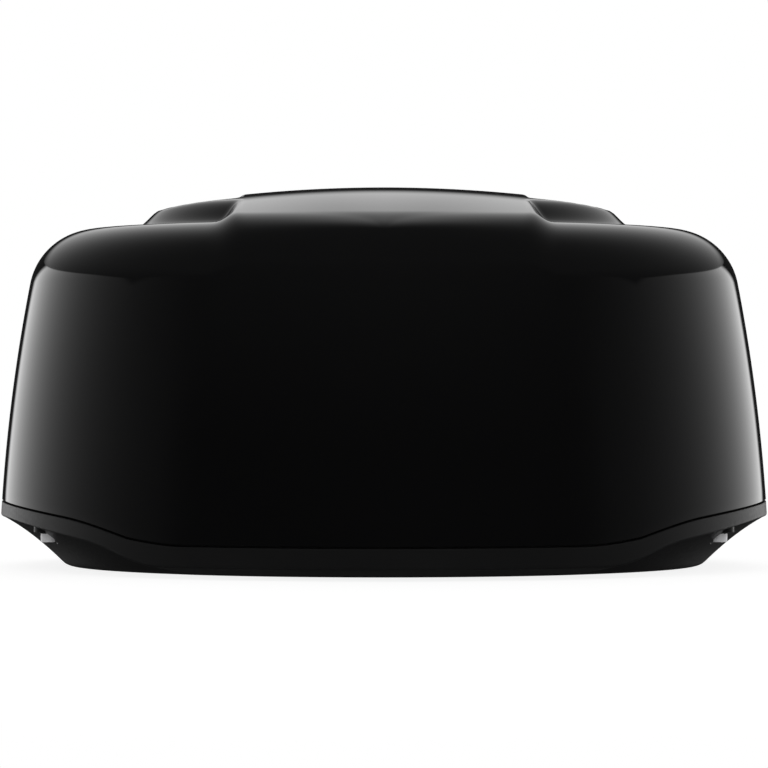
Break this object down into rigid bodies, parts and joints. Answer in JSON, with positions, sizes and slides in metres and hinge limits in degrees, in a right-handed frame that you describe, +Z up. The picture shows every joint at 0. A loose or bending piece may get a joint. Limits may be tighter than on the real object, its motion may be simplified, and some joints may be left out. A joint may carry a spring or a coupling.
{
  "type": "radar dome antenna",
  "caption": "Closed marine radar dome with gloss black cover, dark grey lower casing, and a geared antenna that turns inside.",
  "frame": {"origin": "centre of the resting face, on the antenna's turning axis", "axes": "+Z up along the turning axis, -Y towards the front of the dome, +X to the right seen from the front"},
  "size_m": [0.5076, 0.5099, 0.25],
  "materials": {
    "gloss_black": "high gloss moulded plastic",
    "casing_grey": "satin dark grey moulded plastic with a fine grain",
    "seal_rubber": "soft matte rubber",
    "stainless": "turned stainless steel",
    "bearing_steel": "ground and polished steel",
    "tinned_steel": "tin plated sheet",
    "alloy": "passivated aluminium sheet",
    "brass_parts": "machined brass",
    "black_nylon": "moulded black nylon",
    "white_acetal": "natural acetal",
    "motor_black": "black coated steel laminations and end bells",
    "board_green": "solder mask on glass epoxy board",
    "patch_copper": "gold plated copper",
    "cable_black": "extruded cable jacket"
  },
  "bodies": {
    "base": {"lower_casing": "casing_grey", "mount_inserts": "stainless", "cover_gasket": "seal_rubber", "cover_screws": "stainless", "screw_seals": "seal_rubber", "breather_vent": "black_nylon", "power_connector": "black_nylon", "network_connector": "black_nylon", "connector_seals": "seal_rubber", "connector_nuts": "stainless", "connector_pins": "brass_parts", "deck_plate": "alloy", "deck_screws": "stainless", "bearing_housing": "alloy", "housing_screws": "stainless", "bearing_outer_races": "bearing_steel", "bearing_retaining_ring": "stainless", "encoder_sensor": "black_nylon", "rotary_joint_stator": "brass_parts", "motor_body": "motor_black", "motor_bracket": "alloy", "motor_screws": "stainless", "main_board": "board_green", "transceiver_can": "tinned_steel", "board_components": "black_nylon", "power_board": "board_green", "board_standoffs": "stainless", "board_screws": "stainless", "power_cable": "cable_black", "network_cable": "cable_black", "motor_cable": "cable_black"},
    "cover": {"radome_cover": "gloss_black", "cover_inserts": "brass_parts"},
    "antenna_rotor": {"antenna_shaft": "stainless", "bearing_inner_races": "bearing_steel", "shaft_retaining_ring": "stainless", "drive_gear": "white_acetal", "turntable": "alloy", "rotor_screws": "stainless", "encoder_disc": "stainless", "rotary_joint_rotor": "brass_parts", "antenna_bracket": "alloy", "antenna_tray": "alloy", "array_board": "board_green", "radiating_patches": "patch_copper", "flare_plates": "alloy", "antenna_end_caps": "black_nylon", "antenna_screws": "stainless", "feed_cable": "cable_black"},
    "pinion_shaft": {"motor_shaft": "stainless", "drive_pinion": "brass_parts"},
    "ball_sets": {"bearing_balls": "bearing_steel", "ball_cages": "white_acetal"}
  },
  "joints": [
    {"name": "cover_lift", "type": "slide", "parent": "base", "child": "cover", "axis": [0, 0, 1], "range_m": [0, 0.24]},
    {"name": "antenna_spin", "type": "hinge", "parent": "base", "child": "antenna_rotor", "pos_m": [0, 0, 0.1], "axis": [0, 0, 1], "continuous": true},
    {"name": "pinion_spin", "type": "hinge", "parent": "base", "child": "pinion_shaft", "pos_m": [0, 0.0765, 0.1], "axis": [0, 0, 1], "continuous": true},
    {"name": "ball_roll", "type": "hinge", "parent": "base", "child": "ball_sets", "pos_m": [0, 0, 0.07], "axis": [0, 0, 1], "continuous": true}
  ],
  "couplings": [
    {"joint": "pinion_spin", "follows": "antenna_spin", "ratio": -5},
    {"joint": "ball_roll", "follows": "antenna_spin", "ratio": 0.41111}
  ]
}
